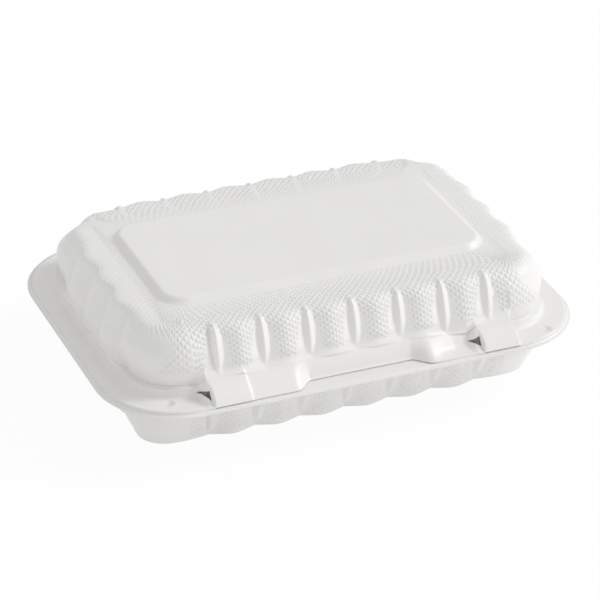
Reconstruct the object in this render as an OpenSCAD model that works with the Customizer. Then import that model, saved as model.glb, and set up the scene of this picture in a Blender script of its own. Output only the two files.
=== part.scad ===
// Hinged takeaway box, one thermoformed sheet: a base tray with three compartments
// and a domed lid that turns on a crease along the back edge.
// Millimetres, +Z up, front towards -Y, foot on Z = 0. The box is drawn closed.

/* [Sheet] */
// thickness of the sheet
wall = 0.8; // [0.6:0.05:1.2]

/* [Plan] */
// length of the straight part of each long side
core_x = 154; // [120:1:200]
// length of the straight part of each short side
core_y = 88.7; // [70:0.1:140]
// reach of the base's lip beyond the straight parts, its corner radius too
lip_r = 37.5; // [30:0.5:48]
// reach of the lid's flange
flange_r = 36.1; // [30:0.1:46]
// where the flange meets the raised ledge
ledge_r = 27; // [25:0.1:34]

/* [Heights] */
// top of the base's flange above the foot
base_h = 29.5; // [22:0.5:40]
// air between the two flanges
seat_gap = 0.3; // [0.2:0.05:0.6]
// lid's rim above the top of its own flange
lid_h = 28.1; // [20:0.1:40]
// panel above the rim
panel_rise = 2.9; // [1:0.1:5]

/* [Pads] */
// pads bulge out this far between their valleys
pad_out = 3.2; // [1.5:0.1:4.5]
// last valley of a long side to the end of its straight part
pad_end_x = 11.75; // [9:0.05:14]
// the same on a short side
pad_end_y = 13.15; // [10:0.05:16]
// bulge of the corner pads
corner_out = 2.4; // [0.5:0.1:4]
// how far the ledge is drawn in at the corners
corner_in = 2.2; // [0:0.1:4]
// how much rounder the dome's back corners are at the rim
back_round = 4.2; // [0:0.1:6]
// the same at its front corners
front_round = 0.6; // [0:0.1:3]
// how far the dome's end walls stand out
end_out = 1.2; // [0:0.1:3]
// how far the base's end walls stand out at the foot
base_end_out = 2.7; // [0:0.1:4]
// how far the base's long walls stand in
base_long_in = 1.2; // [0:0.1:3]
// lean of the lid's walls, outwards per height
lid_lean = 0.394; // [0.2:0.01:0.6]
// lean of the base's walls
base_lean = 0.29; // [0.15:0.01:0.5]
// reach of the lid's wall at the rim
shoulder_r = 16.3; // [12:0.1:20]

/* [Ribs] */
// half width of the sharp rib that stands in each valley of the lid
rib_w = 2.4; // [1.2:0.1:3.2]
// height of that rib above the valley's floor
rib_out = 2.8; // [1:0.1:3.5]

/* [Panel] */
// half length of the raised panel
panel_x = 80; // [60:0.5:90]
// half width of the raised panel
panel_y = 40.2; // [30:0.5:52]
// corner radius of the panel's foot
panel_r = 9; // [4:0.5:16]
// width of the panel's bevel
bevel = 3.4; // [1:0.1:6]

/* [Latches] */
// how far a latch's top stands above the apron beside it
latch_out = 1.1; // [0.5:0.1:2]
// width of the hole at a latch's left end, as a share of the last valley's distance to the corner
hole_part = 0.34; // [0.2:0.01:0.4]
// half width of the finger recess in the lid's front edge, in pads
recess_pads = 1.3; // [1:0.05:1.4]
// how much lower the apron is before the right latch, as a share
apron_dip = 0.6; // [0:0.05:1]

/* [Compartments] */
// height of the dividers
divider_h = 19; // [10:0.5:24]
// half width of a divider's top
divider_top = 2.4; // [1.6:0.1:4]
// half width of a divider at the floor
divider_foot = 5.6; // [4:0.1:7]

/* [Hidden] */

cx = core_x / 2;
cy = core_y / 2;
pitch_x = (core_x - 2 * pad_end_x) / 6;
pitch_y = (core_y - 2 * pad_end_y) / 3;
white = [0.93, 0.93, 0.91];

// heights that follow
seat = base_h + seat_gap;      // underside of the lid's flange
ft = seat + wall;              // top of the lid's flange
rim = ft + lid_h;              // the rim round the panel
top = rim + panel_rise;
hinge_r = lip_r + 0.5;         // the hinge's axis, measured like the other reaches

// reaches of the lid's walls at a height
function lid_wall(z) = shoulder_r + (rim - 1.6 - z) * lid_lean;
function base_wall(z) = 13 + (z - 2) * base_lean;

function clamp(v) = max(0, min(1, v));
function ease(v) = let (c = clamp(v)) c * c * (3 - 2 * c);
function mix(a, b, t) = a + (b - a) * t;

// Stations round the plan, counterclockwise from the front left.
// Each is [side, position along the side, sign of its shift, kind, divider].
// kind 0 stays, 1 is a rib's foot, 2 is part way up a pad, 5 is on a corner's arc.
pitch = [pitch_x, pitch_y, pitch_x, pitch_y];
count = [7, 4, 7, 4];
half = [cx, cy, cx, cy];
far = [cy, cx, cy, cx];

function valley(s, i) = (i - (count[s] - 1) / 2) * pitch[s];
function divider_valley(s, i) = (s == 1 && i == 2) || (s == 3 && i == 1) || (s == 2 && i == 3);

// the latches' ends: from the outer end to the hole's other side, and round the middle of the pad next to it
gap = [pad_end_x, pad_end_y, pad_end_x, pad_end_y];
latch_far = cx - 0.06 * pad_end_x;
hole_far = latch_far - hole_part * pad_end_x;
latch_mid = valley(0, 5) + pitch_x / 2;
latch_near = [latch_mid - 0.05 * pitch_x, latch_mid + 0.134 * pitch_x];
latch_left = [latch_mid + 0.006 * pitch_x, latch_mid - 0.05 * pitch_x];

function front_only(s, list) = s == 0 ? list : [];
function plain(s, u) = [s, u, 0, 0, false];
function middle(s, i, v) =
  s == 0 && i == 0 ? [plain(s, -latch_left[0]), plain(s, -latch_left[1])]
  : s == 0 && i == count[0] - 2 ? [plain(s, latch_near[0]), plain(s, latch_near[1])]
  : [plain(s, v)];
function side(s) =
  let (n = count[s], p = pitch[s], h = half[s], v0 = valley(s, 0), v1 = valley(s, n - 1), w = 0.51 * gap[s])
  concat(
    [plain(s, -h)],
    front_only(s, [plain(s, -latch_far), plain(s, -hole_far)]),
    [plain(s, v0 - w), [s, v0, -1, 1, divider_valley(s, 0)]],
    [for (i = [0 : n - 2]) let (v = valley(s, i), d = divider_valley(s, i), e = divider_valley(s, i + 1))
      each concat(
        [[s, v, 0, 4, d], [s, v, 1, 1, d], [s, v, 1, 2, d]],
        middle(s, i, v + p / 2),
        [[s, v + p, -1, 2, e], [s, v + p, -1, 1, e]])],
    [[s, v1, 0, 4, false], [s, v1, 1, 1, false], plain(s, v1 + w)],
    front_only(s, [plain(s, latch_far - 1.2), plain(s, latch_far)]),
    [plain(s, h)]);

arc_steps = 8;
function arc(s) = [for (i = [1 : arc_steps - 1]) [s, i / arc_steps * 90, 0, 5, false]];
stations = [for (s = [0 : 3]) each concat(side(s), arc(s))];
N = len(stations);

// directions along and out of each side
along = [[1, 0], [0, 1], [-1, 0], [0, -1]];
out = [[0, -1], [1, 0], [0, 1], [-1, 0]];

// bulge of the pads at a distance from a valley
k = 0.25;
function roof(v) = (sqrt(v * v + k * k) - k) / (sqrt(1 + k * k) - k);
function bulge(s, u, share, corner) =
  let (n = count[s], p = pitch[s], e = valley(s, n - 1), a = abs(u))
  a >= e
    ? corner * (1 - roof(1 - clamp((a - e) / (0.94 * gap[s]))))
    : let (q = (a + (n - 1) / 2 * p) / p, f = q - floor(q)) share * pad_out * (1 - roof(abs(2 * f - 1)));

// position along the side of a station; foot and part are the shifts used for the kinds 1 and 2
function place(st, foot, part) = st[1] + st[2] * (st[3] == 1 ? foot : st[3] == 2 ? part : 0);

// direction out of a corner at a station on its arc
function arc_way(st) = cos(st[1]) * out[st[0]] + sin(st[1]) * along[st[0]];

// one point: reach r, height z, share of the pads' bulge, height of the rib's crest, bulge at the corners
function point(st, u, r, z, share, crest, corner) =
  st[3] == 5
    ? let (s = st[0], d = arc_way(st), c = along[s] * half[s] + out[s] * far[s])
      [each (c + d * (r + corner)), z]
    : let (s = st[0], b = st[3] == 4 ? max(crest, 0) : bulge(s, u, share, corner))
      [each (along[s] * u + out[s] * (far[s] + r + b)), z];

// the same station on a plain rounded rectangle for the panel
function panel_point(st, a, b, r, z) =
  let (s = st[0], long = s % 2 == 0, h = long ? a - r : b - r, f = long ? b - r : a - r)
  st[3] == 5
    ? [each (along[s] * h + out[s] * f + arc_way(st) * r), z]
    : let (u = place(st, 0.7 * rib_w, 0.3 * pitch[s]))
      [each (along[s] * u / half[s] * h + out[s] * (f + r)), z];

// moves a line of [reach, height] points sideways by a thickness
function unit(v) = v / max(1e-6, norm(v));
function side_of(a, b) = let (d = unit(b - a)) [-d[1], d[0]];
function moved(l, t) = let (e = len(l) - 1) [for (i = [0 : e])
  let (m = side_of(l[max(0, i - 1)], l[max(1, i)]), n = side_of(l[min(e - 1, i)], l[min(e, i + 1)]))
  l[i] + t * (m + n) / (1 + m * n)];

// share of the short ends at a station, and how near it is to the middle of a corner's arc
function end_share(st) = st[3] == 5 ? (st[0] % 2 == 0 ? sin(st[1]) ^ 2 : cos(st[1]) ^ 2) : st[0] % 2;
function arc_mid(st) = st[3] == 5 ? sin(2 * st[1]) ^ 2 : 0;
function is_back(st) = st[0] == 1 || st[0] == 2;

// Lid: share of the front's own shape, of a latch, the recess, a hole and the hinge's edge at a station
function on_side(st, s) = st[0] == s && st[3] != 5;
function near(u, v) = abs(u - v) < 0.01;
function front_share(st, u) =
  !on_side(st, 0) || abs(u) > latch_far - 0.1 ? 0
  : u > 1.6 * pitch_x && u < latch_near[0] + 0.1 ? 1 - apron_dip * (u < 1.8 * pitch_x ? 0.5 : 1) : 1;
function latch_share(st, u) =
  on_side(st, 0) && ((u > -hole_far - 0.1 && u < -latch_left[0] + 0.1) ||
  (u > latch_near[1] - 0.1 && u < latch_far - 1.1)) ? 1 : 0;
function recess_share(st, u) = on_side(st, 0) && abs(u) <= recess_pads * pitch_x + 0.1 ? 1 : 0;
function hole_share(st, u) = on_side(st, 0) && (near(u, -hole_far) || near(u, latch_near[1])) ? 1 : 0;
function hinge_share(st, u) = on_side(st, 2) && abs(u) <= valley(2, 6) + 0.52 * pad_end_x ? 1 : 0;

// the lid's section from the flange's edge up to the shoulder
function lid_line(f, l, c, o, h) = [
  [mix(mix(mix(flange_r, flange_r + 0.3, l), ledge_r + 1.6, c), lip_r - 0.9, h), ft + 0.3 * c],
  [mix(mix(mix(mix(ledge_r, ledge_r + 6.5, f), ledge_r + 6.5 + latch_out, l), ledge_r + 0.8, c),
       ledge_r + 6.4, o),
   ft + mix(mix(mix(1.9 * f, 2.6, l), 2.2, c), 0.3, o)],
  [mix(mix(mix(ledge_r - 0.8, ledge_r + 0.6, f), ledge_r + 0.7 + latch_out, l), ledge_r - 1, c),
   ft + mix(mix(mix(3.1, 6.4, f), 7.3, l), 6.2, c)],
  [lid_wall(ft + mix(4.6, 8.9, f)) - 0.4 * f, ft + mix(4.6, 8.9, f)],
  [lid_wall(ft + 12.4), ft + 12.4],
  [lid_wall(ft + 16.4), ft + 16.4],
  [lid_wall(ft + 20.4), ft + 20.4],
  [lid_wall(ft + 24.4), ft + 24.4],
  [lid_wall(rim - 1.6), rim - 1.6],
  [shoulder_r - 1.7, rim - 0.35],
  [shoulder_r - 4.6, rim],
  [shoulder_r - 9, rim]];
lid_share = [0, 0, 0, 0.85, 1, 1, 1, 1, 1, 0.85, 0.5, 0];
lid_foot = [0.4, 0.4, 0.4, 0.4, 0.72 * rib_w, rib_w, 0.95 * rib_w, 0.6 * rib_w, 0.4, 0.4, 0.4, 0.4];
lid_crest = [0, 0, 0, 0, 0.7 * rib_out, rib_out, 0.92 * rib_out, 0.6 * rib_out, 0.1, 0, 0, 0];
lid_corner = [0, -corner_in, -corner_in, -1.36 * corner_in, 0.3 * corner_out, 0.85 * corner_out, corner_out,
              0.6 * corner_out, -0.1 * corner_out, -0.1 * corner_out, 0, 0];
lid_round = [0, 0, 0, 0, 0, 0.2, 0.6, 1, 1, 0.85, 0.4, 0];
lid_end = [0, 0, 0, 0.2, 1, 1, 1, 1, 1, 0.9, 0.55, 0];
lid_rings = len(lid_share);

function lid_point(st, i, t) =
  let (u = place(st, lid_foot[i], 0.3 * pitch[st[0]]), f = front_share(st, u),
       l = lid_line(f, latch_share(st, u), recess_share(st, u), hole_share(st, u), hinge_share(st, u)),
       q = t > 0 ? moved(l, t)[i] : l[i],
       round = (is_back(st) ? back_round : front_round) * lid_round[i] * arc_mid(st),
       r = q[0] + end_out * lid_end[i] * end_share(st) - round)
  point(st, u, r, q[1], lid_share[i], st[0] % 2 == 0 ? lid_crest[i] : 0, lid_corner[i] * (i < 4 ? 1 - f : 1));

lid_top_rings = concat(
  [for (i = [0 : lid_rings - 1]) [for (st = stations) lid_point(st, i, 0)]],
  [[for (st = stations) panel_point(st, panel_x, panel_y, panel_r, rim)],
   [for (st = stations) panel_point(st, panel_x - bevel, panel_y - bevel, panel_r - bevel + 0.8, top - 0.4)],
   [for (st = stations) panel_point(st, panel_x - bevel - 1.3, panel_y - bevel - 1.3, panel_r - bevel,
                                    top)]]);
lid_low_rings = concat(
  [for (i = [0 : lid_rings - 1]) [for (st = stations) lid_point(st, i, wall)]],
  [[for (st = stations) panel_point(st, panel_x - 0.4, panel_y - 0.4, panel_r - 0.4, rim - wall)],
   [for (st = stations) panel_point(st, panel_x - bevel - 0.5, panel_y - bevel - 0.5, panel_r - bevel + 0.4,
                                    top - 0.4 - wall)],
   [for (st = stations) panel_point(st, panel_x - bevel - 1.5, panel_y - bevel - 1.5, panel_r - bevel - 0.2,
                                    top - wall)]]);

// triangles between rings; a is the first ring's start, b the next ring's, up turns them over
function left_half(j) = let (st = stations[j]) st[0] == 3
  || (st[0] == 0 && st[3] != 5 && (st[1] < 0 || near(st[1], latch_near[0])))
  || (st[0] == 2 && (st[3] == 5 || st[1] >= 0));
function tri(a, b, c, up) = up ? [a, c, b] : [a, b, c];
function cell(a, b, j, up) =
  let (n = (j + 1) % N)
  left_half(j) ? [tri(a + j, a + n, b + n, up), tri(a + j, b + n, b + j, up)]
               : [tri(a + j, a + n, b + j, up), tri(a + n, b + n, b + j, up)];
function strip(a, b, up, skip = []) =
  [for (j = [0 : N - 1]) let (c = cell(a, b, j, up)) each
    [for (m = [0, 1]) if (len([for (h = skip) if (h[0] == j && (h[1] == m || h[1] == 2)) 1]) == 0) c[m]]];
// the sheet's edge between the upper ring a and the lower ring b
function edge(a, b) = [for (j = [0 : N - 1]) let (n = (j + 1) % N)
  each [[a + j, a + n, b + n], [a + j, b + n, b + j]]];

module sheet(upper, lower, floors_up, floors_low, more, holes, hole_ring = 1) {
  K = len(upper);
  skip = [for (h = holes) each h[0]];
  // walls of the holes through the sheet
  rim_faces = [for (h = holes) let (l = h[1], m = len(l)) each [for (i = [0 : m - 1])
    let (a = l[i], b = l[(i + 1) % m], w = K * N) each [[a, a + w, b + w], [a, b + w, b]]]];
  polyhedron(
    points = concat([for (r = upper) each r], [for (r = lower) each r], more),
    faces = concat(
      [for (i = [0 : K - 2]) each strip(i * N, (i + 1) * N, true, i == hole_ring ? skip : [])],
      [for (i = [0 : K - 2]) each strip((K + i) * N, (K + i + 1) * N, false, i == hole_ring ? skip : [])],
      edge(0, K * N), floors_up, floors_low, rim_faces),
    convexity = 10);
}

// the three-cornered hole at the left end of each latch, through the step below its top
function at(s, u) = [for (j = [0 : N - 1]) if (on_side(stations[j], s) && stations[j][2] == 0
  && near(stations[j][1], u)) j][0];
function hole(j) = [[[j, 0]], [N + j, N + j + 1, 2 * N + j + 1]];

module base() {
  color(white) base_sheet();
}

module lid() {
  color(white) {
    K = lid_rings + 3;
    sheet(lid_top_rings, lid_low_rings,
      [for (j = [0 : N - 1]) [(K - 1) * N + (j + 1) % N, (K - 1) * N + j, 2 * K * N]],
      [for (j = [0 : N - 1]) [(2 * K - 1) * N + j, (2 * K - 1) * N + (j + 1) % N, 2 * K * N + 1]],
      [[0, 0, top], [0, 0, top - wall]],
      [hole(at(0, -latch_far)), hole(at(0, latch_near[0]))]);
  }
}

// Base: the section of its underside from the lip down to the foot
function boss_share(st, u) =
  on_side(st, 0) && abs(u) > latch_near[1] + 0.5 && abs(u) < hole_far - 0.5 ? 1 : 0;
function base_line(b, h) = [
  [mix(lip_r, hinge_r + 0.7, h), mix(base_h - 1.7, base_h - 0.5, h)],
  [mix(lip_r - 1.3, hinge_r - 0.3, h), mix(base_h - 1.7, base_h - 0.82, h)],
  [mix(lip_r - 2.3, lip_r - 1.4, h), base_h - wall],
  [mix(ledge_r - 2.2, ledge_r + 1.2, b), base_h - wall],
  [mix(ledge_r - 2.7, ledge_r + 0.4, b), base_h + mix(1.9, 3.9, b)],
  [ledge_r - 4.6, base_h + mix(2.1, 4.1, b)],
  [base_wall(base_h - 3.2) + pad_out - 0.2, base_h - 2.6],
  [base_wall(base_h - 3.8), base_h - 3.8],
  [base_wall(17), 17],
  [base_wall(10), 10],
  [base_wall(3), 3],
  [base_wall(0.7), 0.7],
  [base_wall(0) - 0.5, 0],
  [base_wall(0) - 3.5, 0]];
base_share = [0, 0, 0, 0, 0, 0, 0, 1, 1, 1, 1, 1, 1, 0];
base_foot = [0.4, 0.4, 0.4, 0.4, 0.4, 0.4, 1.15 * rib_w, 1.15 * rib_w, 1.1 * rib_w, 0.75 * rib_w,
             0.4, 0.4, 0.4, 0.4];
base_crest = [0, 0, 0, 0, 0, 0, 0, 0.85 * rib_out, 0.9 * rib_out, 0.65 * rib_out, 0.1, 0, 0, 0];
base_corner = [0, 0, 0, -corner_in, -corner_in, -0.8 * corner_in, -0.5 * corner_in, 0, 0.5 * corner_out,
               0.5 * corner_out, 0.5 * corner_out, 0.5 * corner_out, 0.5 * corner_out, 0];
base_end = [0, 0, 0, 0, 0, 0, 0, 0.1, 0.7, 1, 1, 1, 1, 1];
base_long = [0, 0, 0, 0, 0, 0, 1, 1, 1, 1, 1, 1, 1, 1];
base_rings = len(base_share);
// the upper side of the lip and the hinge's bead, which don't follow the underside
function base_edge(h) = [
  [mix(lip_r, hinge_r + 0.7, h), mix(base_h - 0.9, base_h + 0.8, h)],
  [mix(lip_r - 0.7, hinge_r - 0.4, h), mix(base_h - 0.9, base_h + 1.05, h)],
  [mix(lip_r - 1.5, hinge_r - 1.05, h), base_h]];

function base_point(st, i, t) =
  let (low = t == 0, d = st[4],
       u = place(st, d && i > 5 ? divider_top - (low ? wall + 0.1 : 0) : base_foot[i],
                 d && i > 5 ? divider_foot - (low ? wall + 0.1 : 0) : 0.3 * pitch[st[0]]),
       h = hinge_share(st, u), l = base_line(boss_share(st, u), h),
       q = low ? l[i] : i < 3 ? base_edge(h)[i] : moved(l, -t)[i],
       ridge = d && (st[3] == 1 || st[3] == 4) ? divider_h - (low ? wall : 0) : 0, e = end_share(st),
       r = q[0] + base_end_out * base_end[i] * e - base_long_in * base_long[i] * (1 - e))
  point(st, u, r, max(q[1], ridge), base_share[i], d && i > 5 || st[0] % 2 == 1 ? 0 : base_crest[i],
        base_corner[i]);

base_top_rings = [for (i = [0 : base_rings - 1]) [for (st = stations) base_point(st, i, wall)]];
base_low_rings = [for (i = [0 : base_rings - 1]) [for (st = stations) base_point(st, i, 0)]];

// stations of the divider valleys: the crest's index, its feet are one either side, its flanks two
function crest(s, i) = [for (j = [0 : N - 1]) if (stations[j][0] == s && stations[j][3] == 4
  && abs(stations[j][1] - valley(s, i)) < 0.01) j][0];
rc = crest(1, 2);
bc = crest(2, 3);
lc = crest(3, 1);
yd = pitch_y / 2;
function span(a, b) = [for (j = [a : b]) j];

// the T of the two dividers; four extra points are at its inside corners, three in the floors' middles
function extra(low) =
  let (w = low ? wall + 0.1 : 0, t = divider_top - w, f = divider_foot - w,
       h = divider_h - (low ? wall : 0), z = low ? 0 : wall)
  [[t, yd + t, h], [-t, yd + t, h], [f, yd + f, z], [-f, yd + f, z],
   [0, -cy / 2, z], [cx / 2, (cy + yd) / 2, z], [-cx / 2, (cy + yd) / 2, z]];
// triangles from a line of points to a middle, closing the line
function fan(l, m) = [for (i = [0 : len(l) - 1]) [l[i], l[(i + 1) % len(l)], m]];
// floors and dividers, counterclockwise seen from above; r and e are the last ring's and the extra
// points' start
function floor_faces(r, e) = concat(
  fan([for (j = concat(span(lc + 2, N - 1), span(0, rc - 2))) r + j], e + 4),
  fan(concat([for (j = span(rc + 2, bc - 2)) r + j], [e + 2]), e + 5),
  fan(concat([for (j = span(bc + 2, lc - 2)) r + j], [e + 3]), e + 6),
  [[r + lc, r + lc + 1, r + rc - 1, r + rc, r + rc + 1, e, e + 1, r + lc - 1],
   [r + bc, r + bc + 1, e + 1, e, r + bc - 1],
   [r + lc + 2, r + rc - 2, r + rc - 1, r + lc + 1],
   [r + rc + 2, e + 2, e, r + rc + 1],
   [e + 2, r + bc - 2, r + bc - 1, e],
   [r + bc + 2, e + 3, e + 1, r + bc + 1],
   [e + 3, r + lc - 2, r + lc - 1, e + 1]]);
function flipped(f) = [for (i = [len(f) - 1 : -1 : 0]) f[i]];

module base_sheet() {
  K = base_rings;
  total = 2 * K * N;
  polyhedron(
    points = concat([for (r = base_top_rings) each r], [for (r = base_low_rings) each r],
                    extra(false), extra(true)),
    faces = concat(
      [for (i = [0 : K - 2]) each strip(i * N, (i + 1) * N, true)],
      [for (i = [0 : K - 2]) each strip((K + i) * N, (K + i + 1) * N, false)],
      edge(0, K * N),
      [for (f = floor_faces((K - 1) * N, total)) flipped(f)],
      floor_faces((2 * K - 1) * N, total + 7)),
    convexity = 10);
}

base();
lid();
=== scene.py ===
"""Hinged takeaway box of white thermoformed sheet: a compartment tray and a domed, ribbed lid.

Lengths in the formulas are millimetres, with the foot on Z = 0 and the front towards -Y; meshes are made in metres.
"""

import bpy
import numpy as np
from mathutils import Matrix, Vector


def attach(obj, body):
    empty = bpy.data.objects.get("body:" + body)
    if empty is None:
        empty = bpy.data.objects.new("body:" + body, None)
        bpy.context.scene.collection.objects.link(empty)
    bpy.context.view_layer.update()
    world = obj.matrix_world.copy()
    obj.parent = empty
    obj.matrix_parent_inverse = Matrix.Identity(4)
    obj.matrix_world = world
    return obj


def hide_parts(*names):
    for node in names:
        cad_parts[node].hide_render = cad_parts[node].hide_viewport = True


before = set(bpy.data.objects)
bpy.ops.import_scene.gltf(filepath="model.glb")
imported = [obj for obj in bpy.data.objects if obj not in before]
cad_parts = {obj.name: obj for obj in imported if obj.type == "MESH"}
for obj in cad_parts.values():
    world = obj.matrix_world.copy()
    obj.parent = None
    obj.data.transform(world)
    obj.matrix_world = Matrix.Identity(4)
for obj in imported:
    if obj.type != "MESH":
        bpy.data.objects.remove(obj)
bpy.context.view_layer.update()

# sheet, plan and heights
WALL = 0.8
CX, CY = 77.0, 44.35            # half sizes of the straight parts
LIP, FLANGE, LEDGE = 37.5, 36.1, 27.0
BASE_H, SEAT_GAP = 29.5, 0.3
EDGE_DROP = 0.45                # the lid's edge rests on the tray's flange
FT = BASE_H + SEAT_GAP + WALL   # top of the lid's flange
RIM = FT + 28.1
TOP = RIM + 2.9
SHOULDER_Z = RIM - 1.6
SHOULDER, LID_LEAN, BASE_LEAN = 16.3, 0.394, 0.29
RIM_INSIDE, DOME_FADE = 7.3, 8.0    # the rim's rows end at this reach, and the walls' waves die out before it
PAD, PITCH = 3.2, (21.75, 20.8)
CORNER_IN, BACK_ROUND, LATCH_OUT = 2.2, 4.2, 1.1
FRONT_ROUND = 0.6
END_OUT = 1.2                   # the dome's end walls stand out further
RIB, RIB_FOOT, RIB_TIP, SHORT_RIB = 2.8, 2.45, 0.35, 0.55
RIB_CREST = 0.02                # square of the half width over which a crest is rounded
TRAY_RIB, TRAY_RIB_TOP = RIB + 0.7, 0.62
PANEL, PANEL_R, PANEL_R_LEAST = (80.0, 40.2), 13.0, 2.5
PANEL_EDGE = ((0, 0), (0.9, 0.25), (2.2, 1.6), (3.0, 2.5), (3.6, 2.83), (4.6, 2.9))     # inset and rise
HOLES = ((-76.3, -72.4), (52.8, 57.4))
LATCHES = ((-76.3, -72.4, -54.9, -53.7), (52.8, 57.4, 75.0, 76.4))
RECESS = (24.0, 33.0)
APRON = (33, 46, 0.4, 0.35, 75.0, 76.6)     # where and how far the apron draws in between the recess and the latch
HINGE_R, HINGE_HALF = LIP + 0.5, 71.5

# the lid's section over its flange, each at the sides, on the apron, on a latch and in the recess
EDGE_REACH = (FLANGE, FLANGE, FLANGE + 0.3, LEDGE + 2.6)
SKIRT_REACH = (LEDGE, LEDGE + 6.5, LEDGE + 6.5 + LATCH_OUT, LEDGE + 1.5)
SKIRT_RISE = (0.0, 1.9, 2.6, 0.25)
SHELF_REACH = (LEDGE - 0.8, LEDGE + 0.6, LEDGE + 0.7 + LATCH_OUT, LEDGE - 1.0)
SHELF_RISE = (3.1, 6.4, 7.3, 6.2)
SLIT_REACH, SLIT_RISE = LEDGE + 6.4, 0.3
WALL_RISE = (4.6, 8.9)          # where the padded wall begins, at the sides and on the apron
CORNER_Z, CORNER_OUT = (FT + WALL_RISE[0], 45, 50, 55, 57.1), (0, 1.5, 2.4, 1.4, -0.3)

# the tray
DIVIDER_H, DIVIDER_TOP, DIVIDER_FOOT = 19.0, 2.4, 5.6
FOOT_REACH, FOOT_RING = 13.0, 3.5
BASE_END_OUT, BASE_LONG_IN = 2.7, 1.2
SWELL_Z, SWELL = (0, 3, 8, 12, 17, 22, 26), (1.2, 1.6, 3.2, 4.2, 4.2, 3.0, 0.9)     # the corners' own bulge


def clamp(v):
    return np.clip(v, 0.0, 1.0)


def ease(v):
    """Smooth step from 0 to 1."""
    c = clamp(v)
    return c * c * (3 - 2 * c)


def mix(a, b, t):
    return a + (b - a) * t


def spaced(lo, hi, n, fine):
    """n positions from lo to hi whose spacing follows the function fine(u), even in its running sum."""
    u = np.linspace(lo, hi, 6001)
    run = np.concatenate([[0], np.cumsum(1 / fine((u[1:] + u[:-1]) / 2))])
    return np.interp(np.linspace(0, run[-1], n), run, u)


class Plan:
    """Stations round the rounded rectangle, counterclockwise from the front left.

    Each has a point on the core rectangle, an outward direction, its side, its position u along the side, and a
    corner share that is 1 at the middle of a corner's arc. A point of reach r lies at core + r * direction.
    """

    def __init__(self, long_n, short_n, arc_n, fine_long, fine_short):
        along = np.array([[1, 0], [0, 1], [-1, 0], [0, -1]], float)
        out = np.array([[0, -1], [1, 0], [0, 1], [-1, 0]], float)
        core, way, side, pos, arc = [], [], [], [], []
        for s in range(4):
            h, f, n, fine = (CX, CY, long_n, fine_long) if s % 2 == 0 else (CY, CX, short_n, fine_short)
            u = spaced(-h, h, n, fine)
            core.append(along[s] * u[:, None] + out[s] * f)
            way.append(np.repeat(out[s][None], len(u), 0))
            a = np.radians(90 * np.arange(1, arc_n + 1) / (arc_n + 1))
            core.append(np.repeat((along[s] * h + out[s] * f)[None], arc_n, 0))
            way.append(np.cos(a)[:, None] * out[s] + np.sin(a)[:, None] * along[s])
            side += [s] * (len(u) + arc_n)
            pos += list(u) + [np.nan] * arc_n
            arc += [0.0] * len(u) + list(a / (np.pi / 2))
        self.core, self.way = np.concatenate(core), np.concatenate(way)
        self.side, self.arc = np.array(side), np.array(arc)
        self.n, self.long_n, self.short_n, self.arc_half = len(side), long_n, short_n, arc_n // 2
        self.on_arc = np.isnan(pos)
        self.u0 = np.where(self.on_arc, 0, pos)
        self.long = (self.side % 2 == 0)
        # distance along the edge at a reach of 20, for patterns
        ring = self.core + 20 * self.way
        self.run = np.concatenate([[0], np.cumsum(np.linalg.norm(np.diff(ring, axis=0), axis=1))])
        # nearest valley, and how far the pads beside it bulge
        pitch = np.where(self.long, PITCH[0], PITCH[1])
        count = np.where(self.long, 7, 4)
        last = (count - 1) / 2 * pitch
        q = (self.u0 + last) / pitch
        k = np.clip(np.round(q), 0, count - 1)
        self.valley = np.where(self.on_arc, 99.0, self.u0 - (k - (count - 1) / 2) * pitch)
        a = np.abs(self.u0)
        inner = 1 - roof(np.abs(2 * (q - np.floor(q)) - 1))
        outer = 1 - roof(1 - clamp((a - last) / 11))
        self.pads = np.where(self.on_arc | (a >= last), 0, inner)
        self.corner = np.where(self.on_arc, 1, np.where(a >= last, outer, 0))
        # how far round a corner, peaking at its middle
        self.mid = np.where(self.on_arc, np.sin(np.pi * self.arc) ** 2, 0)
        self.back = (self.way[:, 1] > 0.02) & self.on_arc

    def across(self, long_value, short_value):
        """A value of the long sides that turns into that of the short sides round each corner."""
        w = self.way[:, 0] ** 2
        return long_value * (1 - w) + short_value * w

    def points(self, r, z):
        """Points at reach r and height z, arrays whose last axis runs over the stations."""
        xy = self.core + self.way * np.asarray(r)[..., None]
        return np.concatenate([xy, np.broadcast_to(np.asarray(z, float), xy.shape[:-1])[..., None]], -1)


def roof(v):
    """0 in the middle of a pad to 1 in a valley: a straight slope with a round ridge."""
    k = 0.25
    return (np.sqrt(v * v + k * k) - k) / (np.sqrt(1 + k * k) - k)


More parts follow.
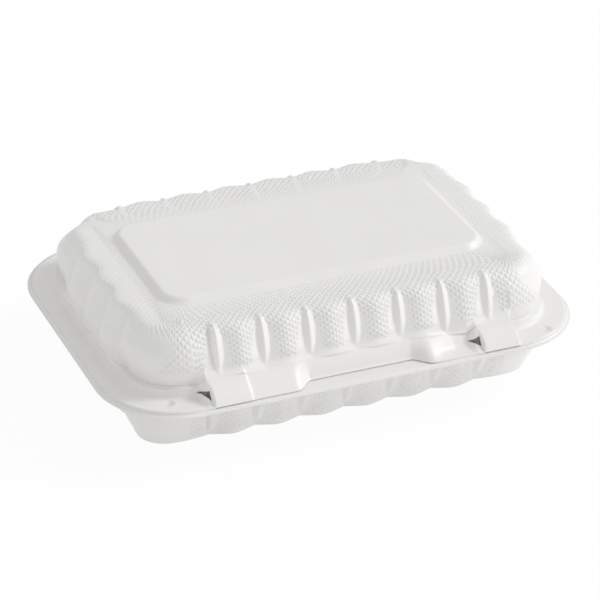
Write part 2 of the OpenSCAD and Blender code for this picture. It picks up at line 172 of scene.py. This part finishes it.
def section(keys, cuts, counts, bends=4):
    """Samples of a line through key points [(r, z), ...], each corner rounded by a quadratic curve.

    A corner starts and ends at its cut's distance along its two legs, at most 45% of either, in a number of bends.
    Returns arrays of r, z
    and the key number of each sample, the first axis along the line.
    """
    P = [np.stack(np.broadcast_arrays(*k), -1) for k in keys]
    P = np.stack(np.broadcast_arrays(*P), 0)
    leg = np.linalg.norm(P[1:] - P[:-1], axis=-1) + 1e-9
    rows, mark = [P[0]], [0.0]
    for i in range(1, len(P)):
        if i == len(P) - 1:
            end, c = P[i], None
        else:
            c = np.minimum(cuts[i], 0.45 * np.minimum(leg[i - 1], leg[i]))[..., None]
            end = P[i] + (P[i - 1] - P[i]) / leg[i - 1][..., None] * c
        start, m0 = rows[-1], mark[-1]
        for t in np.linspace(0, 1, counts[i - 1] + 1)[1:]:
            rows.append(mix(start, end, t))
            mark.append(mix(m0, i - (0.1 if c is not None and np.any(cuts[i]) else 0), t))
        if c is not None and np.any(cuts[i]):
            far = P[i] + (P[i + 1] - P[i]) / leg[i][..., None] * c
            for t in np.linspace(0, 1, bends + 1)[1:]:
                rows.append((1 - t) ** 2 * end + 2 * t * (1 - t) * P[i] + t * t * far)
                mark.append(i - 0.1 + 0.2 * t)
    R = np.stack(rows, 0)
    return R[..., 0], R[..., 1], np.array(mark)


def sideways(r, z, t):
    """Moves a line of samples by t to its right along its own normal."""
    d = np.stack([np.gradient(r, axis=0), np.gradient(z, axis=0)], -1)
    d /= np.linalg.norm(d, axis=-1, keepdims=True) + 1e-9
    return r + t * d[..., 1], z - t * d[..., 0]


def grid_faces(rows, cols, start=0, close=True):
    """Quads of a grid of points whose columns close round."""
    i, j = np.meshgrid(np.arange(rows - 1), np.arange(cols if close else cols - 1), indexing="ij")
    k = (j + 1) % cols
    return start + np.stack([i * cols + j, i * cols + k, (i + 1) * cols + k, (i + 1) * cols + j], -1).reshape(-1, 4)


def build(name, points, quads, tris, uv, grain):
    """Mesh from arrays in millimetres, with a pattern map and the strength of the pattern at each point."""
    me = bpy.data.meshes.new(name)
    faces = [quads, tris] if len(tris) else [quads]
    me.vertices.add(len(points))
    me.vertices.foreach_set("co", (points / 1000).astype(np.float32).ravel())
    loops = np.concatenate([f.ravel() for f in faces])
    sizes = np.concatenate([np.full(len(f), f.shape[1]) for f in faces])
    me.loops.add(len(loops))
    me.loops.foreach_set("vertex_index", loops.astype(np.int32))
    me.polygons.add(len(sizes))
    me.polygons.foreach_set("loop_start", np.concatenate([[0], np.cumsum(sizes)[:-1]]).astype(np.int32))
    me.update(calc_edges=True)
    me.validate()
    me.polygons.foreach_set("use_smooth", np.ones(len(me.polygons), bool))
    layer = me.uv_layers.new(name="pattern")
    at = uv[loops]
    first = np.repeat(loops[np.concatenate([[0], np.cumsum(sizes)[:-1]])], sizes)
    wide = uv[:, 0].max()
    jump = at[:, 0] - uv[first, 0]
    at[:, 0] -= np.round(jump / wide) * wide
    layer.data.foreach_set("uv", at.astype(np.float32).ravel())
    attribute = me.attributes.new("grain", "FLOAT", "POINT")
    attribute.data.foreach_set("value", grain.astype(np.float32))
    ob = bpy.data.objects.new(name, me)
    bpy.context.scene.collection.objects.link(ob)
    return ob


def ribs(plan, share, h, crest, foot, skip=None):
    """Pads' bulge, and what a sharp lens-shaped rib in each valley adds to it, a small one on the short sides.

    h runs from 0 to 1 up a rib. Within the rib's foot the surface rises straight from the pads on either side to the
    crest.
    """
    pads = share * PAD * plan.pads
    lens = clamp(4 * h * (1 - h))
    small = np.where(plan.long, 1.0, SHORT_RIB)
    half = RIB_TIP + small * foot * lens ** 0.5
    start = 1 - roof(np.abs(1 - 2 * half / np.where(plan.long, PITCH[0], PITCH[1])))
    near = np.sqrt(plan.valley ** 2 + RIB_CREST) - RIB_CREST ** 0.5
    line = mix(small * crest * lens ** 0.75, share * PAD * start, near / half)
    ok = ~plan.on_arc & (np.abs(plan.valley) < half)
    if skip is not None:
        ok = ok & ~skip
    return pads, np.where(ok, np.maximum(line - pads, 0), 0)


def stand(r, z, amount, plain_r, plain_z):
    """Moves samples by an amount along the outward normal of the plain section that they come from.

    The section runs inwards and up, so that its outward normal is on its right.
    """
    d = np.stack([np.gradient(plain_r, axis=0), np.gradient(plain_z, axis=0)], -1)
    d /= np.linalg.norm(d, axis=-1, keepdims=True) + 1e-9
    return r + amount * d[..., 1], z - amount * d[..., 0]


def lid_wall(z):
    """Reach of the lid's wall at a height, before the pads."""
    return SHOULDER + (SHOULDER_Z - z) * LID_LEAN


def lid_shares(plan):
    """How far each station has the front apron, a latch, the finger recess and the hinge's edge."""
    u, front = plan.u0, (plan.side == 0) & ~plan.on_arc
    full, less, least, last, right, end = APRON[0], APRON[1], APRON[3], APRON[2], APRON[4], APRON[5]
    f = np.interp(u, [*HOLES[0], full, less, *HOLES[1], right, end], [0, 1, 1, last, least, 1, 1, 0]) * front
    l = sum(np.interp(u, k, [0, 1, 1, 0]) for k in LATCHES) * front
    c = ease((RECESS[1] - np.abs(u)) / (RECESS[1] - RECESS[0])) * front
    slit = sum(np.interp(u, [k[0], k[1] - 0.5, k[1], k[1] + 0.5], [0, 1, 1, 0]) for k in HOLES) * front
    hinge = ease((HINGE_HALF - np.abs(u)) / 1.5) * ((plan.side == 2) & ~plan.on_arc)
    return f, l, c, slit, hinge


def lid_skin(plan, inner):
    """One side of the lid's sheet, rows from the flange's edge up the wall, over the rim and onto the panel.

    The wall's reach is its lean plus the pads' bulge, the ribs and the corners' own bulge, each with its share of
    the height. The panel's rows are rounded rectangles that shrink to the middle.
    """
    f, l, c, slit, hinge = lid_shares(plan)
    at = lambda values: mix(mix(mix(values[0], values[1], f), values[2], l), values[3], c)
    draw = -CORNER_IN * plan.corner * (1 - f)
    start = FT + mix(*WALL_RISE, f)
    keys = [
        (mix(at(EDGE_REACH), LIP - 0.9, hinge), FT - EDGE_DROP),
        (mix(at(SKIRT_REACH), SLIT_REACH, slit * f) + draw, FT + mix(at(SKIRT_RISE), SLIT_RISE, slit * f)),
        (at(SHELF_REACH) + draw, FT + at(SHELF_RISE)),
        (lid_wall(start) - 0.4 * f, start),
        (lid_wall(RIM), RIM - 0.02),
        (RIM_INSIDE, RIM)]
    counts = [6, 8, 4, 30, 3] if not inner else [3, 8, 2, 14, 2]
    soft = 1 - f
    cuts = [0, mix(0.9 + 1.6 * soft, 0.4, c), 1.3 + 1.0 * soft + 1.2 * l, 3.0, 3.6, 0]
    r, z, mark = section(keys, cuts, counts)
    if inner:
        r, z = sideways(r, z, -WALL)
    plain_r, plain_z, m = r, z, mark[:, None]
    h = clamp((z - start) / (SHOULDER_Z - start))
    over = clamp((r - RIM_INSIDE) / DOME_FADE)
    share = ease(m - 2) * mix(0.45, 1.0, ease(h / 0.28)) * over
    # a rib's height counts on round the shoulder
    climb = (z - start + clamp((lid_wall(RIM) - r) / 2.5) * 2.5) / (RIM - start + 2.5)
    pads, rib = ribs(plan, share, np.where(m > 2.9, clamp(climb), 0), RIB, RIB_FOOT)
    foot = -1.36 * CORNER_IN * (1 - f)
    low = clamp((CORNER_Z[1] - z) / (CORNER_Z[1] - CORNER_Z[0]))
    bulge = np.where(m < 3, clamp(m - 2) * foot, np.interp(z, CORNER_Z, CORNER_OUT) + foot * low)
    r = r + pads + plan.corner * bulge * over
    r = r - np.where(plan.back, BACK_ROUND, FRONT_ROUND) * plan.mid * ease((z - RIM + 12) / 8) * over
    r = r + plan.across(0, END_OUT) * ease((z - FT - 3) / 9) * over
    r, z = stand(r, z, rib, plain_r, plain_z)
    lift, inset_more = (0, 0) if not inner else (-WALL, 0.45)
    rows = [plan.points(r, z)]
    rows += [panel_row(plan, inset + inset_more, RIM + rise + lift)[None] for inset, rise in PANEL_EDGE]
    last = rows[-1]
    rows += [last * [k, k, 1] for k in (0.9, 0.7, 0.5, 0.3, 0.12)]
    return np.concatenate(rows), mark


def panel_row(plan, inset, z):
    """A rounded rectangle, the panel's outline drawn in by an inset."""
    r = max(PANEL_R - inset, PANEL_R_LEAST)
    a, b = PANEL[0] - inset - r, PANEL[1] - inset - r
    xy = plan.core / [CX, CY] * [a, b] + plan.way * r
    return np.concatenate([xy, np.full((plan.n, 1), z)], 1)


def lid_grain(plan, z, mark):
    """Where the diamonds are pressed: the rim, the middles of the long sides' pads and the front of the corner pads.

    A pad's pattern is as wide as the pad at the rim and narrows downwards, clear of the ribs.
    """
    rows = np.arange(len(z))[:, None]
    wall, end = rows < len(mark), len(mark) - 1
    m = np.pad(mark, (0, len(z) - len(mark)), constant_values=9.0)[:, None]
    start = FT + WALL_RISE[1]
    h = clamp((z - start) / (SHOULDER_Z - start))
    margin = 0.6 + 2.6 * (4 * h * (1 - h)) ** 0.5 + 3.4 * (1 - h)
    pads = ease((np.abs(plan.valley) - margin) / 1.2) * ease((h - 0.04) / 0.1) * (plan.long & ~plan.on_arc)
    turn = np.where(plan.long, 1 - plan.arc, plan.arc)
    corner = ease((turn - 0.50 - 0.22 * ease((h - 0.2) / 0.6)) / 0.12) * plan.on_arc * ease((h - 0.04) / 0.1)
    sharp = 0.3 + 0.7 * clamp(-plan.way[:, 1]) + 0.15 * clamp(-plan.way[:, 0])
    rim = ease((m - 3.85) / 0.15) * ease((end + 2 - rows) / 2) * sharp
    return np.where(wall | (rim > 0), np.maximum(np.maximum(pads, corner) * (m > 3) * wall, rim), 0)


def pattern_map(plan, points):
    """Distance round the edge and mean distance up the section, for each point of a skin."""
    step = np.linalg.norm(np.diff(points, axis=0), axis=-1).mean(1)
    up = np.concatenate([[0], np.cumsum(step)])
    return np.stack(np.broadcast_arrays(plan.run[None], up[:, None]), -1).reshape(-1, 2)


def rib_spacing(u, least, half):
    """Wanted distance of the stations along a long side: close within each rib, wider on the pads."""
    away = np.abs(np.mod(u + PITCH[0] / 2, PITCH[0]) - PITCH[0] / 2)
    return least + 0.6 * np.maximum(away - half, 0)


def cover():
    """The lid: two skins of the same stations, joined at the edge, closed in the middle, with two holes."""
    stops = np.array([k for t in HOLES + LATCHES for k in t])
    fine = lambda u: np.minimum(1.5, np.minimum(
        rib_spacing(u, 0.42, 2.88), 0.3 + 0.35 * np.min(np.abs(u[:, None] - stops), 1)))
    plan = Plan(215, 76, 31, fine, lambda u: 0.55 + 0.22 * np.abs(np.mod(u, PITCH[1]) - PITCH[1] / 2))
    (out, mark), (ins, mark_in) = lid_skin(plan, False), lid_skin(plan, True)
    # the hole's rows run between the second and third key; both skins have the same number there
    a0, a1 = np.where(mark >= 1.1 - 1e-6)[0][0], np.where(mark <= 1.9 + 1e-6)[0][-1]
    b0, b1 = np.where(mark_in >= 1.1 - 1e-6)[0][0], np.where(mark_in <= 1.9 + 1e-6)[0][-1]
    n = a1 - a0
    tau, cut = np.linspace(0, 1, n + 1), (n - 2) / n
    front = (plan.side == 0) & ~plan.on_arc
    gone = np.zeros((n, plan.n), bool)
    for lo, hi in HOLES:
        inside = front & (plan.u0 >= lo - 0.01) & (plan.u0 <= hi + 0.01)
        w = np.where(inside, mix(0.12, 0.97, clamp((plan.u0 - lo) / (hi - lo)) ** 0.6), cut)
        t = np.where(tau[:, None] <= cut, tau[:, None] / cut * w, w + (tau[:, None] - cut) / (1 - cut) * (1 - w))
        for S, s0, s1 in ((out, a0, a1), (ins, b0, b1)):
            line = S[s0] + (S[s1] - S[s0]) * t[..., None]
            S[s0:s1 + 1][:, inside] = line[:, inside]
        gone[:n - 2] |= inside & np.roll(inside, -1)
    N, R, Q = plan.n, len(out), len(ins)
    points = np.concatenate([out.reshape(-1, 3), ins.reshape(-1, 3), [[0, 0, TOP], [0, 0, TOP - WALL]]])
    o = R * N
    up, down = grid_faces(R, N), grid_faces(Q, N, o)[:, ::-1]
    keep_up, keep_down = np.ones((R - 1, N), bool), np.ones((Q - 1, N), bool)
    keep_up[a0:a1] &= ~gone
    keep_down[b0:b1] &= ~gone
    j = np.arange(N)
    k = (j + 1) % N
    edge = np.stack([j, o + j, o + k, k], 1)
    gi, gj = np.where(gone)
    walls = []
    sides = ((-1, 0, ((0, 0), (0, 1))), (0, 1, ((0, 1), (1, 1))), (1, 0, ((1, 1), (1, 0))), (0, -1, ((1, 0), (0, 0))))
    for di, dj, ends in sides:
        ni, nj = gi + di, (gj + dj) % N
        free = (ni < 0) | (ni >= n) | ~gone[np.clip(ni, 0, n - 1), nj]
        (i1, j1), (i2, j2) = ends
        A = [(a0 + gi + i1) * N + (gj + j1) % N, (a0 + gi + i2) * N + (gj + j2) % N]
        B = [o + (b0 + gi + i1) * N + (gj + j1) % N, o + (b0 + gi + i2) * N + (gj + j2) % N]
        walls.append(np.stack([A[0], A[1], B[1], B[0]], 1)[free])
    quads = np.concatenate([up[keep_up.ravel()], down[keep_down.ravel()], edge] + walls)
    e, f2 = (R - 1) * N, o + (Q - 1) * N
    tops = np.full(N, len(points) - 2)
    tris = np.concatenate([np.stack([e + j, e + k, tops], 1), np.stack([f2 + k, f2 + j, tops + 1], 1)])
    skins = ((out, mark), (ins, mark_in))
    uv = np.concatenate([pattern_map(plan, skin) for skin, _ in skins] + [np.zeros((2, 2))])
    grain = np.concatenate([lid_grain(plan, skin[..., 2], marks).reshape(-1) for skin, marks in skins] + [np.zeros(2)])
    return build("lid_sheet", points, quads, tris, uv, grain)


def base_wall(plan, z):
    """Reach of the tray's wall at a height; the short ends stand out at the foot and come back under the flange."""
    return FOOT_REACH + (z - 2) * BASE_LEAN + plan.across(-BASE_LONG_IN, BASE_END_OUT * (1 - ease((z - 12) / 14)))


def divider(x, y, low):
    """Height of the two dividers at a place: a bar along X and a stem behind it, each a straight-sided ridge."""
    y0 = PITCH[1] / 2
    d = np.minimum(np.abs(y - y0), np.where(y > y0, np.abs(x), 99.0))
    cut = WALL + 0.1 if low else 0.0
    t = (DIVIDER_FOOT - cut - d) / (DIVIDER_FOOT - DIVIDER_TOP)
    t = clamp(t) + 0.05 * np.exp(-np.abs(t) * 9) - 0.05 * np.exp(-np.abs(1 - t) * 9)
    return mix(0.0 if low else WALL, DIVIDER_H - (WALL if low else 0), clamp(t))


def base_skin(plan, inner):
    """One side of the tray's sheet, rows from the lip over the ledge and down the wall to the foot."""
    hinge = lid_shares(plan)[-1]
    boss = ((plan.side == 0) & ~plan.on_arc) * sum(
        np.interp(plan.u0, [k[1] - 2.4, k[1] - 0.4, k[2] - 2.5, k[2] - 1.5], [0, 1, 1, 0]) for k in LATCHES)
    co = plan.corner
    low = [
        (mix(LIP, HINGE_R + 0.7, hinge), mix(BASE_H - 1.7, BASE_H - 0.5, hinge)),
        (mix(LIP - 1.3, HINGE_R - 0.3, hinge), mix(BASE_H - 1.7, BASE_H - 0.82, hinge)),
        (mix(LIP - 2.3, LIP - 1.4, hinge), BASE_H - WALL),
        (mix(LEDGE - 2.2, LEDGE + 1.2, boss) - CORNER_IN * co, BASE_H - WALL),
        (mix(LEDGE - 2.7, LEDGE + 0.4, boss) - CORNER_IN * co, BASE_H + mix(1.9, 3.9, boss)),
        (LEDGE - 4.6 - 0.8 * CORNER_IN * co, BASE_H + mix(2.1, 4.1, boss)),
        (base_wall(plan, BASE_H - 3.2) + PAD - 0.2 - 0.5 * CORNER_IN * co, BASE_H - 2.6),
        (base_wall(plan, BASE_H - 4.5), BASE_H - 4.5),
        (base_wall(plan, 0) + 0.1, 0.0),
        (base_wall(plan, 0) - FOOT_RING, 0.0)]
    cuts, counts = [0, 0.4, 0.4, 0.7, 0.8, 1.2, 1.0, 1.0, 2.0, 0], [2, 2, 3, 3, 2, 2, 2, 16, 2]
    r, z, mark = section(low, cuts, counts, 3)
    if inner:
        r, z = sideways(r, z, WALL)
        edge = [
            (mix(LIP, HINGE_R + 0.7, hinge), mix(BASE_H - 0.9, BASE_H + 0.8, hinge)),
            (mix(LIP - 0.7, HINGE_R - 0.4, hinge), mix(BASE_H - 0.9, BASE_H + 1.05, hinge)),
            (mix(LIP - 1.5, HINGE_R - 1.05, hinge), BASE_H + 0 * hinge)]
        first = np.where(mark < 2.1)[0]
        er, ez, _ = section([(k[0] + 0 * hinge, k[1] + 0 * hinge) for k in edge], [0, 0.3, 0], [len(first) // 2, 1])
        pick = np.linspace(0, len(er) - 1, len(first))
        lo, t = np.floor(pick).astype(int), (pick % 1)[:, None]
        hi = np.minimum(lo + 1, len(er) - 1)
        r[first], z[first] = mix(er[lo], er[hi], t), mix(ez[lo], ez[hi], t)
    m = mark[:, None]
    h = clamp((z - 3.0) / (BASE_H - 5.5 - 3.0))
    share = ease(m - 6) * (1 - ease(m - 8))
    # no rib where a divider meets the wall
    met = (plan.side == 2) & (np.abs(plan.u0) < 6)
    met = met | (~plan.long & (np.abs(plan.core[:, 1] - PITCH[1] / 2) < 4))
    climb = np.where((m > 6.8) & (m < 8), TRAY_RIB_TOP * h, 0)
    pads, rib = ribs(plan, share, climb, TRAY_RIB, RIB_FOOT, skip=met | (m < 6.5))
    swell = np.interp(z, SWELL_Z, SWELL) + plan.across(0, 1.8) * ease((26 - z) / 8)
    r = r + pads + rib + co * share * swell
    P = plan.points(r, z)
    ridge = divider(P[..., 0], P[..., 1], not inner)
    P[..., 2] = np.where((m > 6.9) & ((plan.side > 0) | plan.on_arc), np.maximum(z, ridge), z)
    return P, mark


def tray_floor(plan, ring, low):
    """Inner points of the floor: four-sided interpolation between the foot's front, back, left and right."""
    a = plan.arc_half
    nx, ny = plan.long_n + 2 * a + 2, plan.short_n + 2 * a + 2
    start = -(a + 1)
    idx = lambda k: (np.asarray(k)) % plan.n
    B = idx(start + np.arange(nx))
    R = idx(start + nx - 1 + np.arange(ny))
    T = idx(start + nx - 1 + ny - 1 + np.arange(nx))[::-1]
    L = idx(start + 2 * (nx - 1) + ny - 1 + np.arange(ny))[::-1]

    b, t, l, r = (ring[k, :2] for k in (B, T, L, R))
    s1 = ((b[:, 0] - b[0, 0]) / (b[-1, 0] - b[0, 0]))[:, None, None]
    t1 = ((l[:, 1] - l[0, 1]) / (l[-1, 1] - l[0, 1]))[None, :, None]
    s0, t0 = 1 - s1, 1 - t1
    xy = (t0 * b[:, None] + t1 * t[:, None] + s0 * l[None] + s1 * r[None]
          - s0 * t0 * b[0] - s1 * t0 * b[-1] - s0 * t1 * t[0] - s1 * t1 * t[-1])
    z = divider(xy[..., 0], xy[..., 1], low)
    return np.concatenate([xy, z[..., None]], -1), (B, R, T, L)


def tray():
    """The base: two skins joined at the lip, each closed by its floor, with the dividers raised in it."""
    plan = Plan(
        141, 72, 23,
        lambda u: np.minimum(1.7, np.minimum(rib_spacing(u, 0.5, 2.79), 0.5 + 0.25 * np.abs(np.abs(u) - 3.6))),
        lambda u: np.minimum(1.6, 0.45 + 0.3 * np.abs(np.abs(np.abs(u) - PITCH[1] / 2) - 3.8)))
    N = plan.n
    parts, quads, count = [], [], 0
    uvs, grains = [], []
    for inner in (True, False):
        P, mark = base_skin(plan, inner)
        G, (B, R, T, L) = tray_floor(plan, P[-1], not inner)
        nx, ny = G.shape[:2]
        ids = np.zeros((nx, ny), int)
        ids[1:-1, 1:-1] = (np.arange((nx - 2) * (ny - 2)) + len(P) * N).reshape(nx - 2, ny - 2)
        last = (len(P) - 1) * N
        ids[:, 0], ids[:, -1], ids[0], ids[-1] = last + B, last + T, last + L, last + R
        wall = grid_faces(len(P), N)
        floor = np.stack([ids[:-1, :-1], ids[1:, :-1], ids[1:, 1:], ids[:-1, 1:]], -1).reshape(-1, 4)
        both = np.concatenate([wall, floor])
        quads.append((both if inner else both[:, ::-1]) + count)
        parts.append(np.concatenate([P.reshape(-1, 3), G[1:-1, 1:-1].reshape(-1, 3)]))
        uvs += [pattern_map(plan, P), np.zeros(((nx - 2) * (ny - 2), 2))]
        z, on_pads = P[..., 2], ease((np.abs(plan.valley) - 3.0) / 2.5) * (plan.long & ~plan.on_arc)
        pressed = on_pads * ease((z - 2) / 3) * ease((BASE_H - 7 - z) / 3)
        grains += [(0.8 * pressed).reshape(-1), np.zeros((nx - 2) * (ny - 2))]
        count += len(parts[-1])
    o = len(parts[0])
    j = np.arange(N)
    k = (j + 1) % N
    quads.append(np.stack([j, o + j, o + k, k], 1))
    points, quads, uv, grain = (np.concatenate(lists) for lists in (parts, quads, uvs, grains))
    return build("tray_sheet", points, quads, np.zeros((0, 3), int), uv, grain)


class Wire:
    """A socket of a material's nodes; arithmetic on wires adds the Math nodes that work it out."""

    def __init__(self, tree, socket=None):
        self.tree, self.socket = tree, socket

    def add(self, kind, settings=None, inputs=None, output=0):
        """A new node: its type, its settings, then a value or a wire for each of its sockets."""
        node = self.tree.nodes.new("ShaderNode" + kind)
        for name, value in (settings or {}).items():
            setattr(node, name, value)
        for key, value in (inputs or {}).items():
            if isinstance(value, Wire):
                self.tree.links.new(value.socket, node.inputs[key])
            else:
                node.inputs[key].default_value = value
        return Wire(self.tree, node.outputs[output] if node.outputs else None)

    def math(self, operation, a, b=0.0, c=0.0, clamp=False):
        return self.add("Math", {"operation": operation, "use_clamp": clamp}, {0: a, 1: b, 2: c})

    def __add__(self, other):
        return self.math("ADD", self, other)

    def __sub__(self, other):
        return self.math("SUBTRACT", self, other)

    def __rsub__(self, other):
        return self.math("SUBTRACT", other, self)

    def __mul__(self, other):
        return self.math("MULTIPLY", self, other)

    def __truediv__(self, other):
        return self.math("DIVIDE", self, other)

    __radd__, __rmul__ = __add__, __mul__

    def smaller(self, other):
        return self.math("MINIMUM", self, other)

    def step(self, low, high):
        """0 below low, 1 above high, smooth between."""
        return self.add("MapRange", {"interpolation_type": "SMOOTHSTEP"}, {0: self, 1: low, 2: high})

    def part(self, axis):
        return self.add("SeparateXYZ", {}, {0: self}, axis)

    def noise(self, scale, detail=2.0):
        return self.add("TexNoise", {}, {"Vector": self, "Scale": scale, "Detail": detail})

    def colour(self, low, high):
        """A colour that runs from low to high as this goes from 0 to 1."""
        return self.add("Mix", {"data_type": "RGBA"}, {0: self, 6: (*low, 1.0), 7: (*high, 1.0)}, 2)


def material(name):
    """An empty material and a wire to build it with."""
    m = bpy.data.materials.new(name)
    m.use_nodes = True
    m.node_tree.nodes.clear()
    return m, Wire(m.node_tree)


def moulded_sheet(name, dimples=()):
    """White filled polypropylene sheet: satin, a little cloudy, with pressed diamonds where grain is set.

    The diamonds are the smaller of two triangle waves that run across each other along the piece's pattern map,
    rounded on top.
    """
    m, w = material(name)
    where = w.add("TexCoord", output=3)
    pattern = w.add("UVMap", {"uv_map": "pattern"})
    grain = w.add("Attribute", {"attribute_name": "grain"}, output=2)
    u, v = pattern.part(0), pattern.part(1)
    waves = [w.math("PINGPONG", (u + v * side) / DIAMOND, 0.5) * 2.0 for side in (1.0, -1.0)]
    slope = waves[0].smaller(waves[1])
    diamonds = slope * slope * (3.0 - slope * 2.0) * grain * DIAMOND_DEPTH
    cloud, fine = where.noise(45.0), where.noise(1400.0, 1.0)
    height = diamonds + (cloud - 0.5) * 0.00025 + (fine - 0.5) * 0.00002
    for place, radius, depth in dimples:
        near = w.add("VectorMath", {"operation": "DISTANCE"}, {0: where, 1: place}, 1)
        height = height - (1 - near.step(0.0, radius)) * depth
    bump = w.add("Bump", {}, {"Strength": 1.0, "Distance": 1.0, "Height": height})
    tint = (cloud * 0.7 + fine * 0.3).colour(SHEET_DARK, SHEET_LIGHT)
    shine = 0.36 + cloud * 0.08 + grain * 0.06
    shader = w.add("BsdfPrincipled", {}, {"Base Color": tint, "Roughness": shine, "IOR": 1.49, "Normal": bump})
    w.add("OutputMaterial", {}, {"Surface": shader})
    return m


def backdrop(name):
    """Near white for the camera and in reflections, plain pale grey for the light that it sends back."""
    m, w = material(name)
    camera, diffuse, glossy, through = (w.add("LightPath", output=i) for i in (0, 2, 3, 6))
    seen = w.math("ADD", w.math("MAXIMUM", camera, glossy), through, clamp=True) * FLOOR_WHITE
    paper = w.add("BsdfDiffuse", {}, {"Color": (0.97, 0.97, 0.97, 1.0)})
    glow = w.add("Emission", {}, {"Color": (1.0, 1.0, 1.0, 1.0), "Strength": 1.4})
    plain = w.add("MixShader", {}, {0: diffuse * FLOOR_GLOW, 1: paper, 2: glow})
    white = w.add("Emission", {}, {"Color": (1.0, 1.0, 1.0, 1.0), "Strength": 1.0})
    w.add("OutputMaterial", {}, {"Surface": w.add("MixShader", {}, {0: seen, 1: plain, 2: white})})
    return m


def lamp(name, direction, energy, width):
    """A soft sun whose light comes from a direction."""
    light = bpy.data.lights.new(name, "SUN")
    light.energy, light.angle = energy, width
    ob = bpy.data.objects.new(name, light)
    bpy.context.scene.collection.objects.link(ob)
    ob.matrix_world = Vector(direction).to_track_quat("Z", "Y").to_matrix().to_4x4()
    return ob


# finish
DIAMOND, DIAMOND_DEPTH = 3.3, 0.00036       # size in millimetres, depth in metres
SHEET_DARK, SHEET_LIGHT = (0.800, 0.792, 0.775), (0.828, 0.820, 0.803)
FLOOR_WHITE, FLOOR_GLOW = 0.93, 0.24

lid = cover()
base = tray()
for piece, body, node in ((lid, "cover", "lid"), (base, "tray", "base")):
    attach(piece, body)
    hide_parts(node)
DIMPLES = (((-0.0897, -0.0700, FT / 1000), 0.0032, 0.0010), ((0.0928, -0.0717, FT / 1000), 0.0032, 0.0010),
           ((-0.0590, -0.0720, 0.0360), 0.0016, 0.0010))
lid.data.materials.append(moulded_sheet("lid_sheet", DIMPLES))
base.data.materials.append(moulded_sheet("tray_sheet"))

# floor
floor_mesh = bpy.data.meshes.new("floor")
size = 6.0
floor_mesh.from_pydata([(-size, -size, 0), (size, -size, 0), (size, size, 0), (-size, size, 0)], [], [(0, 1, 2, 3)])
floor = bpy.data.objects.new("floor", floor_mesh)
bpy.context.scene.collection.objects.link(floor)
floor_mesh.materials.append(backdrop("floor_paint"))

# light
AMBIENT = 0.72
world = bpy.data.worlds.new("studio")
world.use_nodes = True
world.node_tree.nodes.clear()
w = Wire(world.node_tree)
camera_ray = w.add("LightPath", output=0)
strength = w.add("Mix", {"data_type": "FLOAT"}, {0: camera_ray, 2: AMBIENT, 3: 1.0})
w.add("OutputWorld", {}, {"Surface": w.add("Background", {}, {"Color": (1.0, 1.0, 1.0, 1.0), "Strength": strength})})
bpy.context.scene.world = world
lamp("key", (0.80, -0.12, 0.61), 1.18, 0.3)
lamp("low", (0.84, -0.54, 0.01), 0.60, 0.2)

# camera, from a fit of the box's outline in the photograph
AZIMUTH, ELEVATION, ROLL = np.radians((23.372, 29.518, 1.0))
DISTANCE, TARGET, LENS = 1.3365, Vector((-0.004562, -0.014223, 0.035)), 174.9
look = Vector((np.sin(AZIMUTH) * np.cos(ELEVATION), np.cos(AZIMUTH) * np.cos(ELEVATION), -np.sin(ELEVATION)))
level = Vector((np.cos(AZIMUTH), -np.sin(AZIMUTH), 0))
upright = level.cross(look)
right = level * np.cos(ROLL) + upright * np.sin(ROLL)
above = upright * np.cos(ROLL) - level * np.sin(ROLL)
camera_data = bpy.data.cameras.new("camera")
camera_data.lens, camera_data.sensor_width, camera_data.clip_end = LENS, 36.0, 50.0
camera = bpy.data.objects.new("camera", camera_data)
bpy.context.scene.collection.objects.link(camera)
camera.matrix_world = Matrix.Translation(TARGET - look * DISTANCE) @ Matrix((right, above, -look)).transposed().to_4x4()
bpy.context.scene.camera = camera
bpy.context.scene.view_settings.view_transform = "Standard"
